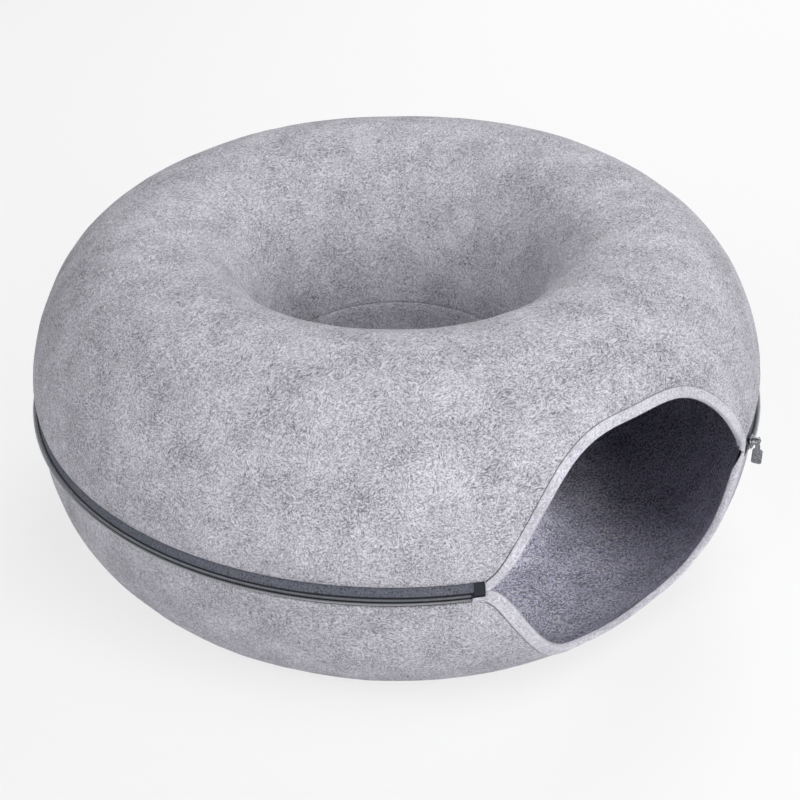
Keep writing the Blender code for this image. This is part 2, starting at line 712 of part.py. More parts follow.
# The film that stiffens the upper tape's last stretch, and the felt patch over the zip's end.
film_end = 360.0 - OUTER_TAPE_END
film_start = film_end - arc(FILM_LENGTH, OUTER_RADIUS)
film_foot = behind_outer_coil(ROW_HIGH + GAP)
film_bend = behind_outer_coil(UPPER_TAPE_BEND)
film_line = [
    (film_foot[0] + GAP + FILM, film_foot[1]),
    (film_bend[0] + GAP + FILM, film_bend[1]),
    (behind_outer_felt(upper_landing) + GAP + FILM, upper_landing - GAP),
]
film_section = tape_section(film_line, FILM)
turned_sector("outer_tape_end_film", film_section, film_start, film_end, parts, film, ring)
box_outer = outer_middle - COIL_DEPTH / 2 + PIN_DEPTH + 2 * (BOX_WALL + GAP)
box_corner = leaned([(box_outer, SEAM_HEIGHT - BOX_FLOOR_DROP)], outer_middle, OUTER_CHAIN_LEAN)[0]
patch_inner = box_corner[0] + RING_GAP
patch_top = SEAM_HEIGHT - PATCH_DROP
patch_section = block(patch_inner, patch_inner + PATCH, patch_top - PATCH_HEIGHT, patch_top)
patch_start = 360.0 - OUTER_COIL_STOP
turned_sector("zip_end_patch", patch_section, patch_start, film_end, parts, binding_felt, ring)

# Sliders: each turns round the ring's axis with its own empty, and its pull swings on the slider's bar.
for prefix, middle, lean, tape_face, park in (
    ("outer", outer_middle, OUTER_CHAIN_LEAN, outer_tape_face, OUTER_PARK_ANGLE),
    ("inner", inner_middle, 0.0, inner_tape_face, INNER_PARK_ANGLE),
):
    axis = new_empty(prefix + "_slider_axis", (0, 0, 0), (0, 0, math.radians(park)), ring)
    chain_middle = (0, -middle, SEAM_HEIGHT)
    seat = new_empty(prefix + "_slider_seat", chain_middle, (-math.radians(lean), 0, 0), axis)
    flat_share = math.cos(math.radians(STEP_ANGLE / 2))
    behind = middle - (tape_face - TAPE) * flat_share + BACK_RUN_GAP
    bar_rise = slider_body(prefix + "_slider_body", behind, COIL_DEPTH / 2 + RUN_GAP, seat)
    (bar_radius, bar_height), = leaned([(middle + bar_rise, SEAM_HEIGHT)], middle, lean)
    hang = new_empty(prefix + "_pull_axis", (0, -bar_radius, bar_height), (0, 0, 0), axis)
    slider_pull(prefix + "_slider_pull", hang)
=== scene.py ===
import math

import bmesh
import bpy
from mathutils import Matrix, Vector, noise


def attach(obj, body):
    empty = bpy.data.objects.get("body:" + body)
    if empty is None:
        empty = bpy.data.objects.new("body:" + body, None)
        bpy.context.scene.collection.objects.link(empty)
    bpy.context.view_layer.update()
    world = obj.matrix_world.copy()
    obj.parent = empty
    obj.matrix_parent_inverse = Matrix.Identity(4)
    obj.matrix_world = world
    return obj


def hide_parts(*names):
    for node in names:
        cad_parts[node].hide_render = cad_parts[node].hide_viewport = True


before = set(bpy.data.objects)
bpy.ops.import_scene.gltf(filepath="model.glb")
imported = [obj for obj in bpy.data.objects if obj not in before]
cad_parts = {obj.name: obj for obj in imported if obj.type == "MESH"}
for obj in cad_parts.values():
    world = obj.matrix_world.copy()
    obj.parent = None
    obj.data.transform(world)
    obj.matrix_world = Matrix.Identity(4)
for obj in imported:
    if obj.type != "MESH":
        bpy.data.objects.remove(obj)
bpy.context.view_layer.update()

# The camera stands above and to the left of the entrance, as in the photograph, and looks down at the
# ring's middle. Its lens is a short telephoto one and it is turned a little on its own axis.
RING_Y = -0.010994  # the ring's own axis, forward of the footprint's middle
LOOK_AT = Vector((0.0021, RING_Y - 0.0016, 0.1061))
CAMERA_FROM_LOOK_AT = Vector((-0.6473, -0.8281, 0.6958))
CAMERA_ROLL = -0.0091
CAMERA_SENSOR = 36.0
CAMERA_LENS = 66.2

camera_data = bpy.data.cameras.new("photo_camera")
camera_data.sensor_width = CAMERA_SENSOR
camera_data.lens = CAMERA_LENS
camera = bpy.data.objects.new("photo_camera", camera_data)
bpy.context.scene.collection.objects.link(camera)
bpy.context.scene.camera = camera
sight = -CAMERA_FROM_LOOK_AT.normalized()
level = sight.cross(Vector((0, 0, 1))).normalized()
above = level.cross(sight)
right = level * math.cos(CAMERA_ROLL) + above * math.sin(CAMERA_ROLL)
upright = right.cross(sight)
turn = Matrix((right, upright, -sight)).transposed().to_4x4()
camera.matrix_world = Matrix.Translation(LOOK_AT + CAMERA_FROM_LOOK_AT) @ turn

# The floor is a plain pale studio sweep that shows nearly white to the camera and keeps the ring's soft
# shadow. Two large soft lamps stand in front, a weaker one at the left and one behind, in a pale room.
FLOOR_SIZE = 24.0
FLOOR_WHITE = (0.86, 0.86, 0.87, 1.0)
SHOWN_WHITE_SHARE = 0.72
ROOM_LIGHT = 0.12
LAMP_SIZE = 1.6


def node_tree(material):
    """The material's node tree, with its Principled shader and its output."""
    material.use_nodes = True
    tree = material.node_tree
    return tree, tree.nodes["Principled BSDF"], tree.nodes["Material Output"]


def add_node(tree, kind, **values):
    """A node whose settings and unlinked sockets are given by name; a double underscore is a space."""
    made = tree.nodes.new(kind)
    for name, value in values.items():
        if hasattr(made, name):
            setattr(made, name, value)
        else:
            made.inputs[name.replace("__", " ")].default_value = value
    return made


bm = bmesh.new()
bmesh.ops.create_grid(bm, x_segments=1, y_segments=1, size=FLOOR_SIZE / 2)
floor_mesh = bpy.data.meshes.new("studio_floor")
bm.to_mesh(floor_mesh)
bm.free()
studio_floor = bpy.data.objects.new("studio_floor", floor_mesh)
bpy.context.scene.collection.objects.link(studio_floor)
floor_paint = bpy.data.materials.new("studio_floor_paint")
tree, shader, output = node_tree(floor_paint)
shader.inputs["Base Color"].default_value = FLOOR_WHITE
shader.inputs["Roughness"].default_value = 0.9
shader.inputs["Specular IOR Level"].default_value = 0.1
glow = add_node(tree, "ShaderNodeEmission", Color=(1, 1, 1, 1), Strength=1.0)
ray = add_node(tree, "ShaderNodeLightPath")
seen = add_node(tree, "ShaderNodeMath", operation="MAXIMUM")
tree.links.new(ray.outputs["Is Camera Ray"], seen.inputs[0])
tree.links.new(ray.outputs["Is Glossy Ray"], seen.inputs[1])
share = add_node(tree, "ShaderNodeMath", operation="MULTIPLY")
share.inputs[1].default_value = SHOWN_WHITE_SHARE
tree.links.new(seen.outputs[0], share.inputs[0])
blend = add_node(tree, "ShaderNodeMixShader")
tree.links.new(share.outputs[0], blend.inputs[0])
tree.links.new(shader.outputs[0], blend.inputs[1])
tree.links.new(glow.outputs[0], blend.inputs[2])
tree.links.new(blend.outputs[0], output.inputs["Surface"])
floor_mesh.materials.append(floor_paint)

room = bpy.data.worlds.new("studio_room")
bpy.context.scene.world = room
room.use_nodes = True
tree = room.node_tree
backdrop = tree.nodes["Background"]
backdrop.inputs["Color"].default_value = (0.93, 0.94, 1.0, 1.0)
backdrop.inputs["Strength"].default_value = ROOM_LIGHT
shown = add_node(tree, "ShaderNodeBackground", Color=(1, 1, 1, 1), Strength=1.0)
ray = add_node(tree, "ShaderNodeLightPath")
seen = add_node(tree, "ShaderNodeMath", operation="MAXIMUM")
tree.links.new(ray.outputs["Is Camera Ray"], seen.inputs[0])
tree.links.new(ray.outputs["Is Glossy Ray"], seen.inputs[1])
blend = add_node(tree, "ShaderNodeMixShader")
tree.links.new(seen.outputs[0], blend.inputs[0])
tree.links.new(backdrop.outputs[0], blend.inputs[1])
tree.links.new(shown.outputs[0], blend.inputs[2])
tree.links.new(blend.outputs[0], tree.nodes["World Output"].inputs["Surface"])

for name, place, watts in (
    ("soft_lamp_front", (0.0, -2.31, 1.30), 33.5),
    ("soft_lamp_above_front", (0.0, -1.22, 2.40), 17.0),
    ("soft_lamp_left", (-2.12, -0.19, 1.59), 21.0),
    ("soft_lamp_behind_right", (1.72, 1.00, 1.77), 32.0),
):
    lamp_data = bpy.data.lights.new(name, "AREA")
    lamp_data.shape = "DISK"
    lamp_data.size = LAMP_SIZE
    lamp_data.energy = watts
    lamp = bpy.data.objects.new(name, lamp_data)
    bpy.context.scene.collection.objects.link(lamp)
    lamp.location = place
    lamp.rotation_euler = (LOOK_AT - Vector(place)).to_track_quat("-Z", "Y").to_euler()
bpy.context.scene.view_settings.view_transform = "Standard"

# The felt halves are two bowls pressed from 3 mm grey melange felt, one upside down on the other.
# Each is one sheet, soft-edged and a little uneven, with the entrance cut from both.
SEAM = 0.142
TOP = 0.277
UPPER_RADIUS = 0.2985
LOWER_RADIUS = 0.2965
HOLE_RADIUS = 0.106
CREST_RADIUS = 0.196
FOOT_OUTER_RADIUS = 0.178
FOOT_INNER_RADIUS = 0.152
FELT = 0.003
CUT_EDGE_ROUND = 0.0008
UPPER_EDGE = 0.0086  # from the seam up to the upper bowl's cut edge
LOWER_EDGE = 0.0084  # from the seam down to the lower bowl's cut edge
EDGE_PINCH = 0.0022  # how far the tape draws the upper bowl's edge in
PINCH_HEIGHT = 0.016
UPPER_OUTER_ROUND = 2.02
UPPER_INNER_ROUND = 2.353
LOWER_OUTER_ROUND = 2.35
LOWER_INNER_ROUND = 2.300
ENTRANCE_HALF_ANGLE = math.radians(26.1)
UPPER_ARCH = (0.0916, 3.40, 1.60)  # the arch's height, roundness and how far its corners are drawn out
LOWER_ARCH = (0.1035, 3.60, 2.0)
CORNER_SHARE = 0.965  # of the half angle, where the arch's edge turns straight for its corner
RUN_ON = (0.004, 0.008, 0.012, 0.016)  # the straight run's points past a corner
FELT_CUT_BACK = 0.0014  # from the entrance's finished edge to the felt's own cut edge under the binding
RING_STEPS = 468
LINE_STEP = 0.0048


def side_radius(height, upper):
    """The outer radius of one half at a height; past the seam it runs on straight."""
    if not upper:
        share = min(max((SEAM - height) / SEAM, 0.0), 1.0)
        reach = (1 - share**LOWER_OUTER_ROUND) ** (1 / LOWER_OUTER_ROUND)
        return FOOT_OUTER_RADIUS + (LOWER_RADIUS - FOOT_OUTER_RADIUS) * reach
    share = min(max((height - SEAM) / (TOP - SEAM), 0.0), 1.0)
    reach = (1 - share**UPPER_OUTER_ROUND) ** (1 / UPPER_OUTER_ROUND)
    pinch = min(max(0.0, 1 - (height - SEAM - UPPER_EDGE) / PINCH_HEIGHT), 1.0)
    return CREST_RADIUS + (UPPER_RADIUS - CREST_RADIUS) * reach - EDGE_PINCH * pinch * pinch


def arch_height(angle, upper):
    """How far the entrance's finished edge stands above or below the seam, at an angle from its middle."""
    height, roundness, point = UPPER_ARCH if upper else LOWER_ARCH
    share = min(abs(angle) / ENTRANCE_HALF_ANGLE, 1.0)
    return height * (1 - share**roundness) ** point


def even_line(points, step):
    """The same line with its points evenly spaced."""
    lengths = [0.0]
    for first, second in zip(points, points[1:]):
        lengths.append(lengths[-1] + math.dist(first, second))
    count = max(2, round(lengths[-1] / step))
    line, index = [], 0
    for i in range(count + 1):
        target = lengths[-1] * i / count
        while index < len(points) - 2 and lengths[index + 1] < target:
            index += 1
        share = (target - lengths[index]) / (lengths[index + 1] - lengths[index])
        first, second = points[index], points[index + 1]
        line.append(tuple(a + (b - a) * share for a, b in zip(first, second)))
    return line


def bowl_line(top, crest_in, crest_out, outer_round, inner_round, edge):
    """The bowl's outer face as (radius, height) points, from the hole's edge to the outer edge."""
    points = []
    for i in range(241):
        turn = math.pi / 2 * i / 240
        across = math.cos(turn) ** (2 / inner_round) if i < 240 else 0.0
        radius = crest_in + (HOLE_RADIUS - crest_in) * across
        points.append((radius, SEAM + (top - SEAM) * math.sin(turn) ** (2 / inner_round)))
    points[0] = (HOLE_RADIUS, SEAM + math.copysign(0.0003, top - SEAM))
    if crest_in != crest_out:
        points += [(crest_in + (crest_out - crest_in) * i / 8, top) for i in range(1, 8)]
    for i in range(240, -1, -1):
        turn = math.pi / 2 * i / 240
        height = SEAM + (top - SEAM) * math.sin(turn) ** (2 / outer_round)
        if abs(height - SEAM) <= abs(edge):
            break
        points.append((side_radius(height, top > SEAM), height))
    points.append((side_radius(SEAM + edge, top > SEAM), SEAM + edge))
    return points


def eased(value, low, high):
    """A smooth step of a value from low to high, as 0 to 1."""
    share = min(max((value - low) / (high - low), 0.0), 1.0)
    return share * share * (3 - 2 * share)


def unevenness(point):
    """How far the pressed felt stands off its form, in waves and dents that fade at zips and floor."""
    slow = noise.noise(point * 9.0) * 0.0014
    small = noise.noise(point * 34.0 + Vector((3.1, 7.7, 1.3))) * 0.00050
    fine = noise.noise(point * 140.0 + Vector((9.4, 2.2, 5.8))) * 0.00016
    return (slow + small + fine) * eased(abs(point.z - SEAM), 0.008, 0.040) * eased(point.z, 0.0, 0.025)


def on_side(point, stand, upper):
    """The place on a half's outer side nearest to a point, stood off it, and its outward way."""
    place = Vector(point)
    for _ in range(2):
        slope = (side_radius(place.z + 0.0004, upper) - side_radius(place.z - 0.0004, upper)) / 0.0008
        radial = Vector((place.x, place.y, 0)).normalized()
        out = (radial - Vector((0, 0, slope))).normalized()
        place -= out * (place.xy.length - side_radius(place.z, upper)) * out.dot(radial)
    return place + out * (stand + unevenness(place)), out


def entrance_edge(upper, count):
    """The arch's finished edge as (place, way along it, way from the opening), run on past its corners."""
    sign = 1 if upper else -1
    flat = []
    for i in range(count + 1):
        angle = CORNER_SHARE * ENTRANCE_HALF_ANGLE * math.sin(math.pi * (i / count - 0.5))
        flat.append((angle, SEAM + sign * arch_height(angle, upper)))
    for first, second, at in ((flat[0], flat[1], 0), (flat[-1], flat[-2], None)):
        run = math.hypot((second[0] - first[0]) * UPPER_RADIUS, second[1] - first[1])
        ways = [(first[0] - second[0]) / run, (first[1] - second[1]) / run]
        more = [(first[0] + ways[0] * step, first[1] + ways[1] * step) for step in RUN_ON]
        flat = more[::-1] + flat if at == 0 else flat + more
    places = []
    for angle, height in flat:
        radius = side_radius(height, upper)
        places.append(Vector((radius * math.sin(angle), -radius * math.cos(angle), height)))
    edge = []
    for i, place in enumerate(places):
        along = (places[min(i + 1, len(places) - 1)] - places[max(i - 1, 0)]).normalized()
        out = on_side(place, 0.0, upper)[1]
        away = along.cross(out) if not upper else out.cross(along)
        edge.append((place, along, away.normalized()))
    return edge


def new_piece(name, mesh, body, slot, material, *stands_for):
    """Links a finished mesh as a piece that rides on a body and stands for the named CAD nodes."""
    piece = bpy.data.objects.new(name, mesh)
    bpy.context.scene.collection.objects.link(piece)
    if material:
        mesh.materials.clear()
        mesh.materials.append(material)
    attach(piece, body)
    if stands_for:
        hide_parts(*stands_for)
    return piece


def mesh_from(name, bm, sharp_angle=40.0):
    """A mesh about the ring's own axis, moved to its place in the shared frame."""
    bmesh.ops.remove_doubles(bm, verts=bm.verts[:], dist=0.000002)
    bmesh.ops.recalc_face_normals(bm, faces=bm.faces[:])
    bmesh.ops.translate(bm, verts=bm.verts[:], vec=(0, RING_Y, 0))
    mesh = bpy.data.meshes.new(name)
    bm.to_mesh(mesh)
    bm.free()
    mesh.shade_smooth()
    mesh.set_sharp_from_angle(angle=math.radians(sharp_angle))
    return mesh


def is_open(angle, height, grow=0.0):
    """Whether a point of the outer side lies in the entrance, or within grow of it."""
    return abs(height - SEAM) < arch_height(angle, height > SEAM) + grow


def felt_bowl(name, line, upper):
    """One bowl's outer skin spun round the ring's axis, with the entrance cut out and its edge tidied."""
    bm = bmesh.new()
    corners = [bm.verts.new((0.0, -radius, height)) for radius, height in line]
    edges = [bm.edges.new(pair) for pair in zip(corners, corners[1:])]
    bmesh.ops.spin(
        bm,
        geom=corners + edges,
        cent=(0, 0, 0),
        axis=(0, 0, 1),
        angle=math.tau,
        steps=RING_STEPS,
        use_merge=True,
    )
    bmesh.ops.remove_doubles(bm, verts=bm.verts[:], dist=0.00001)
    bmesh.ops.recalc_face_normals(bm, faces=bm.faces[:])
    upward = sum(face.normal.z * face.calc_area() for face in bm.faces)
    if (upward > 0) != upper:
        bmesh.ops.reverse_faces(bm, faces=bm.faces[:])
    cut = []
    for face in bm.faces:
        middle = face.calc_center_median()
        angle = math.atan2(middle.x, -middle.y)
        if middle.xy.length > CREST_RADIUS and is_open(angle, middle.z, FELT_CUT_BACK):
            cut.append(face)
    bmesh.ops.delete(bm, geom=cut, context="FACES")
    edge = entrance_edge(upper, 600)
    arch = [on_side(place + away * FELT_CUT_BACK, 0.0, upper)[0] for place, along, away in edge]
    for vert in bm.verts:
        angle = math.atan2(vert.co.x, -vert.co.y)
        near = vert.is_boundary and vert.co.xy.length > CREST_RADIUS
        if near and is_open(angle, vert.co.z, 0.009) and abs(vert.co.z - line[-1][1]) > LINE_STEP / 2:
            vert.co = min(arch, key=lambda place: (place - vert.co).length_squared)
    bm.normal_update()
    moves = [vert.normal * unevenness(vert.co) for vert in bm.verts]
    for vert, move in zip(bm.verts, moves):
        vert.co += move
    bmesh.ops.translate(bm, verts=bm.verts[:], vec=(0, RING_Y, 0))
    mesh = bpy.data.meshes.new(name)
    bm.to_mesh(mesh)
    bm.free()
    mesh.shade_smooth()
    return mesh


def new_group(name, inputs, outputs):
    """A shader node group with named inputs and outputs."""
    group = bpy.data.node_groups.new(name, "ShaderNodeTree")
    for label, kind, value in inputs:
        socket = group.interface.new_socket(name=label, in_out="INPUT", socket_type=kind)
        if value is not None:
            socket.default_value = value
    for label, kind in outputs:
        group.interface.new_socket(name=label, in_out="OUTPUT", socket_type=kind)
    return group, group.nodes.new("NodeGroupInput"), group.nodes.new("NodeGroupOutput")


def math_node(tree, operation, first, second=None, third=None):
    """A Math node whose inputs are sockets or numbers; returns its output."""
    made = tree.nodes.new("ShaderNodeMath")
    made.operation = operation
    for socket, value in zip(made.inputs, (first, second, third)):
        if isinstance(value, bpy.types.NodeSocket):
            tree.links.new(value, socket)
        elif value is not None:
            socket.default_value = value
    return made.outputs[0]


def ramp(tree, value, low, high):
    """A smooth step of a value from low to high, as 0 to 1."""
    made = tree.nodes.new("ShaderNodeMapRange")
    made.interpolation_type = "SMOOTHSTEP"
    made.inputs["From Min"].default_value = low
    made.inputs["From Max"].default_value = high
    tree.links.new(value, made.inputs["Value"])
    return made.outputs[0]


def tint(tree, share, first, second, blend_type="MIX"):
    """A colour mix; share, first and second are sockets or values."""
    made = tree.nodes.new("ShaderNodeMix")
    made.data_type = "RGBA"
    made.blend_type = blend_type
    for socket, value in ((made.inputs[0], share), (made.inputs[6], first), (made.inputs[7], second)):
        if isinstance(value, bpy.types.NodeSocket):
            tree.links.new(value, socket)
        else:
            socket.default_value = value
    return made.outputs[2]


# Short straight marks that lie every way, as loose fibres do: the surface is split in small uneven
# patches, each patch turns its own pattern, and the pattern is drawn out along one of its axes.
streaks, given, made = new_group(
    "fibre_streaks",
    (
        ("Vector", "NodeSocketVector", None),
        ("Patch Scale", "NodeSocketFloat", 110.0),
        ("Fibre Scale", "NodeSocketFloat", 620.0),
        ("Seed", "NodeSocketFloat", 0.0),
    ),
    (("Fibre", "NodeSocketFloat"), ("Fleck", "NodeSocketFloat")),
)
shift = streaks.nodes.new("ShaderNodeVectorMath")
shift.operation = "ADD"
streaks.links.new(given.outputs["Vector"], shift.inputs[0])
streaks.links.new(given.outputs["Seed"], shift.inputs[1])
wander = add_node(streaks, "ShaderNodeTexNoise", Scale=150.0, Detail=1.0)
streaks.links.new(shift.outputs[0], wander.inputs["Vector"])
wander_push = streaks.nodes.new("ShaderNodeVectorMath")
wander_push.operation = "MULTIPLY_ADD"
wander_push.inputs[1].default_value = (0.010, 0.010, 0.010)
streaks.links.new(wander.outputs["Color"], wander_push.inputs[0])
streaks.links.new(shift.outputs[0], wander_push.inputs[2])
patches = add_node(streaks, "ShaderNodeTexVoronoi")
streaks.links.new(wander_push.outputs[0], patches.inputs["Vector"])
streaks.links.new(given.outputs["Patch Scale"], patches.inputs["Scale"])
angles = streaks.nodes.new("ShaderNodeVectorMath")
angles.operation = "SCALE"
angles.inputs["Scale"].default_value = 25.0
streaks.links.new(patches.outputs["Color"], angles.inputs[0])
turned = streaks.nodes.new("ShaderNodeVectorRotate")
turned.rotation_type = "EULER_XYZ"
streaks.links.new(shift.outputs[0], turned.inputs["Vector"])
streaks.links.new(angles.outputs[0], turned.inputs["Rotation"])
drawn = streaks.nodes.new("ShaderNodeVectorMath")
drawn.operation = "MULTIPLY"
drawn.inputs[1].default_value = (1.0, 1.0, 0.20)
streaks.links.new(turned.outputs[0], drawn.inputs[0])
fibre = add_node(streaks, "ShaderNodeTexNoise", Detail=1.0, Roughness=0.5)
streaks.links.new(drawn.outputs[0], fibre.inputs["Vector"])
streaks.links.new(given.outputs["Fibre Scale"], fibre.inputs["Scale"])
streaks.links.new(fibre.outputs["Fac"], made.inputs["Fibre"])
flecks = add_node(streaks, "ShaderNodeTexVoronoi")
streaks.links.new(drawn.outputs[0], flecks.inputs["Vector"])
streaks.links.new(math_node(streaks, "MULTIPLY", given.outputs["Fibre Scale"], 1.25), flecks.inputs["Scale"])
fleck_tone = streaks.nodes.new("ShaderNodeSeparateColor")
streaks.links.new(flecks.outputs["Color"], fleck_tone.inputs[0])
streaks.links.new(fleck_tone.outputs[0], made.inputs["Fleck"])


def inner_face(tree):
    """1 on the faces of the felt that look into the tunnel, and 0 outside."""
    tunnel_radius = (UPPER_RADIUS + HOLE_RADIUS) / 2
    coordinates = add_node(tree, "ShaderNodeTexCoord")
    parts = add_node(tree, "ShaderNodeSeparateXYZ")
    tree.links.new(coordinates.outputs["Object"], parts.inputs[0])
    ahead = math_node(tree, "SUBTRACT", parts.outputs["Y"], RING_Y)
    square = math_node(tree, "MULTIPLY", ahead, ahead)
    square = math_node(tree, "MULTIPLY_ADD", parts.outputs["X"], parts.outputs["X"], square)
    share = math_node(tree, "DIVIDE", tunnel_radius, math_node(tree, "SQRT", square))
    share = math_node(tree, "SUBTRACT", 1.0, share)
    outward = add_node(tree, "ShaderNodeCombineXYZ")
    tree.links.new(math_node(tree, "MULTIPLY", parts.outputs["X"], share), outward.inputs["X"])
    tree.links.new(math_node(tree, "MULTIPLY", ahead, share), outward.inputs["Y"])
    tree.links.new(math_node(tree, "SUBTRACT", parts.outputs["Z"], SEAM), outward.inputs["Z"])
    facing = add_node(tree, "ShaderNodeVectorMath")
    facing.operation = "DOT_PRODUCT"
    tree.links.new(outward.outputs[0], facing.inputs[0])
    tree.links.new(coordinates.outputs["Normal"], facing.inputs[1])
    return math_node(tree, "LESS_THAN", facing.outputs["Value"], 0.0)


FIBRE_LAYERS = ((0.0, 150.0, 1250.0), (4.3, 110.0, 1550.0))  # each with its seed, patch scale and fibre scale
# The tunnel side's colour is multiplied by the first of these near the floor, as painted light, and by
# the second under the roof, as painted shade. Both are fitted to the light and dark of the tunnel, and are no
# known property of the felt.
TUNNEL_FLOOR_PAINTED_LIGHT = (1.52, 1.52, 1.66, 1)
TUNNEL_ROOF_PAINTED_SHADE = (0.24, 0.24, 0.23, 1)


def felt_material(name, base, dark, pale, dark_share, pale_share, contrast=1.0, lining=True):
    """Melange felt: a mottled ground with dark and pale fibres felted into it and a napped surface; with
    lining, its tunnel side gets more dark fibres, a deeper grain, painted light near the floor and painted
    shade under the roof.
    """
    material = bpy.data.materials.new(name)
    tree, shader, output = node_tree(material)
    place = add_node(tree, "ShaderNodeTexCoord").outputs["Object"]
    layers = []
    for seed, patch, scale in FIBRE_LAYERS:
        made = tree.nodes.new("ShaderNodeGroup")
        made.node_tree = streaks
        made.inputs["Seed"].default_value = seed
        made.inputs["Patch Scale"].default_value = patch
        made.inputs["Fibre Scale"].default_value = scale
        tree.links.new(place, made.inputs["Vector"])
        layers.append(made.outputs)
    cloud = add_node(tree, "ShaderNodeTexNoise", Scale=30.0, Detail=4.0, Roughness=0.62)
    tree.links.new(place, cloud.inputs["Vector"])
    speck = add_node(tree, "ShaderNodeTexNoise", Scale=1500.0, Detail=1.0, Roughness=0.6)
    tree.links.new(place, speck.inputs["Vector"])
    # More dark fibres lie where the cloud is low, and more pale ones where it is high.
    thick = math_node(tree, "MULTIPLY_ADD", cloud.outputs["Fac"], 0.30, -0.15)
    darkness = ramp(tree, math_node(tree, "ADD", layers[0]["Fibre"], thick), 0.40, 0.315)
    paleness = ramp(tree, math_node(tree, "ADD", layers[1]["Fibre"], thick), 0.56, 0.68)
    ground = tint(tree, ramp(tree, cloud.outputs["Fac"], 0.30, 0.70), base[0], base[1])
    mixed = math_node(tree, "ADD", layers[0]["Fleck"], layers[1]["Fleck"])
    mixed = math_node(tree, "MULTIPLY_ADD", speck.outputs["Fac"], 1.3, mixed)
    within = inner_face(tree) if lining else 0.0
    depth = math_node(tree, "MULTIPLY_ADD", within, 0.30, 0.51 * contrast)
    grain = math_node(tree, "MULTIPLY_ADD", ramp(tree, mixed, 0.85, 2.45), 2.0, -1.0)
    grain = math_node(tree, "MULTIPLY_ADD", grain, depth, 1.0)
    ground = tint(tree, 1.0, ground, grain, "MULTIPLY")
    ground = tint(tree, math_node(tree, "MULTIPLY", paleness, pale_share), ground, pale)
    marks = math_node(tree, "MULTIPLY_ADD", within, 0.12, dark_share)
    ground = tint(tree, math_node(tree, "MULTIPLY", darkness, marks), ground, dark)
    height = add_node(tree, "ShaderNodeSeparateXYZ")
    tree.links.new(place, height.inputs[0])
    # The tunnel side gets painted light near the floor and painted shade under the roof.
    face = tint(tree, ramp(tree, height.outputs["Z"], 0.06, 0.15), TUNNEL_FLOOR_PAINTED_LIGHT, TUNNEL_ROOF_PAINTED_SHADE)
    ground = tint(tree, 1.0, ground, tint(tree, within, (1, 1, 1, 1), face), "MULTIPLY")
    tree.links.new(ground, shader.inputs["Base Color"])
    shader.inputs["Roughness"].default_value = 0.95
    shader.inputs["Specular IOR Level"].default_value = 0.15
    nap = math_node(tree, "ADD", layers[0]["Fibre"], layers[1]["Fibre"])
    nap = math_node(tree, "MULTIPLY_ADD", mixed, 0.25, nap)
    bump = add_node(tree, "ShaderNodeBump", Strength=0.5, Distance=0.0005)
    tree.links.new(nap, bump.inputs["Height"])
    tree.links.new(bump.outputs[0], shader.inputs["Normal"])
    return material


grey_felt = felt_material(
    "grey_melange_felt",
    ((0.440, 0.433, 0.472, 1), (0.515, 0.505, 0.550, 1)),
    (0.075, 0.075, 0.090, 1),
    (0.78, 0.77, 0.83, 1),
    0.76,
    0.45,
)
upper_line = even_line(
    bowl_line(TOP, CREST_RADIUS, CREST_RADIUS, UPPER_OUTER_ROUND, UPPER_INNER_ROUND, UPPER_EDGE), LINE_STEP
)
lower_line = even_line(
    bowl_line(0.0, FOOT_INNER_RADIUS, FOOT_OUTER_RADIUS, LOWER_OUTER_ROUND, LOWER_INNER_ROUND, -LOWER_EDGE),
    LINE_STEP,
)
for name, line, upper, body, node in (
    ("upper_felt_bowl", upper_line, True, "upper_half", "upper_felt_shell"),
    ("lower_felt_bowl", lower_line, False, "lower_half", "lower_felt_shell"),
):
    bowl = new_piece(name, felt_bowl(name, line, upper), body, "felt", grey_felt, node)
    wall = bowl.modifiers.new("Wall", "SOLIDIFY")
    wall.thickness = FELT
    wall.offset = -1.0
    wall.use_even_offset = True
    edge = bowl.modifiers.new("Soft cut edge", "BEVEL")
    edge.width = CUT_EDGE_ROUND
    edge.segments = 2
    edge.limit_method = "ANGLE"
    edge.angle_limit = math.radians(55)

# The bindings are strips of finer, paler felt folded over the entrance's cut edges, one on each half.
# Each is sewn down along its rims with dark thread and cut off square where it meets the zip.
# The outer row also serves as painted shadow: its dark line stands where the rim's shadow falls on the felt.
BINDING = 0.0010
UPPER_STRIP_WIDTH = 0.0079
LOWER_STRIP_WIDTH = 0.0098
BINDING_END_ANGLE = math.radians(26.45)
BINDING_END_GAP = 0.0004
INNER_LEG_WIDTH = 0.0060
CORNER_HEIGHT = 0.012
CORNER_FOLD_SHARE = 0.28  # of the fold's depth that is left at the corners, where it holds only tape
# The outer thread lies just past the rim as a dark line of painted shadow, where the rim's shadow falls.
RIM_SHADOW_LINE = 0.0002  # how far past a strip's rim its dark thread shows
THREAD = 0.00040
STITCH_PITCH = 0.0030
THREAD_SIDES = 5


def wrapped(rows, columns, place):
    """A flat grid laid into a closed tube: place gives where the corner at a row and a column goes."""
    bm = bmesh.new()
    bmesh.ops.create_grid(bm, x_segments=rows, y_segments=columns, size=0.5)
    for vert in bm.verts:
        vert.co = place(round((vert.co.x + 0.5) * rows), round((vert.co.y + 0.5) * columns) % columns)
    bmesh.ops.remove_doubles(bm, verts=bm.verts[:], dist=0.000001)
    return bm


def close_ends(bm):
    """Closes the holes left by the open ends of a tube."""
    bmesh.ops.holes_fill(bm, edges=[edge for edge in bm.edges if edge.is_boundary], sides=0)


def trimmed(bm, point, way):
    """Cuts a piece off square beyond a plane and closes the cut."""
    geometry = bm.verts[:] + bm.edges[:] + bm.faces[:]
    bmesh.ops.bisect_plane(bm, geom=geometry, dist=0.000001, plane_co=point, plane_no=way, clear_outer=True)
    close_ends(bm)


